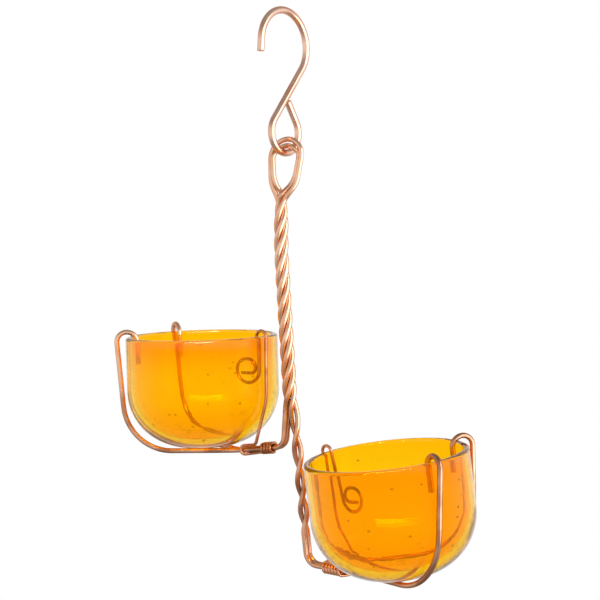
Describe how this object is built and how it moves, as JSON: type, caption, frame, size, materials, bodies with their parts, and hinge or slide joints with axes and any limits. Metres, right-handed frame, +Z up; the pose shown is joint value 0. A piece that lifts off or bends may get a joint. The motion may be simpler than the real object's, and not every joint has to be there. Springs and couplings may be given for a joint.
{
  "type": "double bowl bird feeder",
  "caption": "Hanging jelly feeder for orioles: glass bowls in wire cradles on opposite sides of a twisted copper stem, with an S hook through the eye at its top.",
  "frame": {"origin": "underside of the S hook's top arc, where it hangs on its support", "axes": "+Z up; the twisted stem runs down -Z, the upper bowl is towards -X and +Y, the lower bowl towards +X and -Y"},
  "size_m": [0.18, 0.1382, 0.2775],
  "materials": {
    "copper_hook": "bright copper",
    "copper_wire": "bright copper",
    "copper_tie": "bright copper",
    "amber_glass": "seeded, fire polished"
  },
  "bodies": {
    "hook": {"s_hook": "copper_hook"},
    "feeder": {"outer_frame_wire": "copper_wire", "inner_frame_wire": "copper_wire", "upper_tie_wire": "copper_tie", "lower_tie_wire": "copper_tie", "upper_bowl": "amber_glass", "lower_bowl": "amber_glass"}
  },
  "joints": [
    {"name": "eye_swing", "type": "hinge", "parent": "hook", "child": "feeder", "pos_m": [0.00039, 0.00046, -0.06745], "axis": [0.6428, 0.766, 0], "range_deg": [-45, 45]}
  ]
}
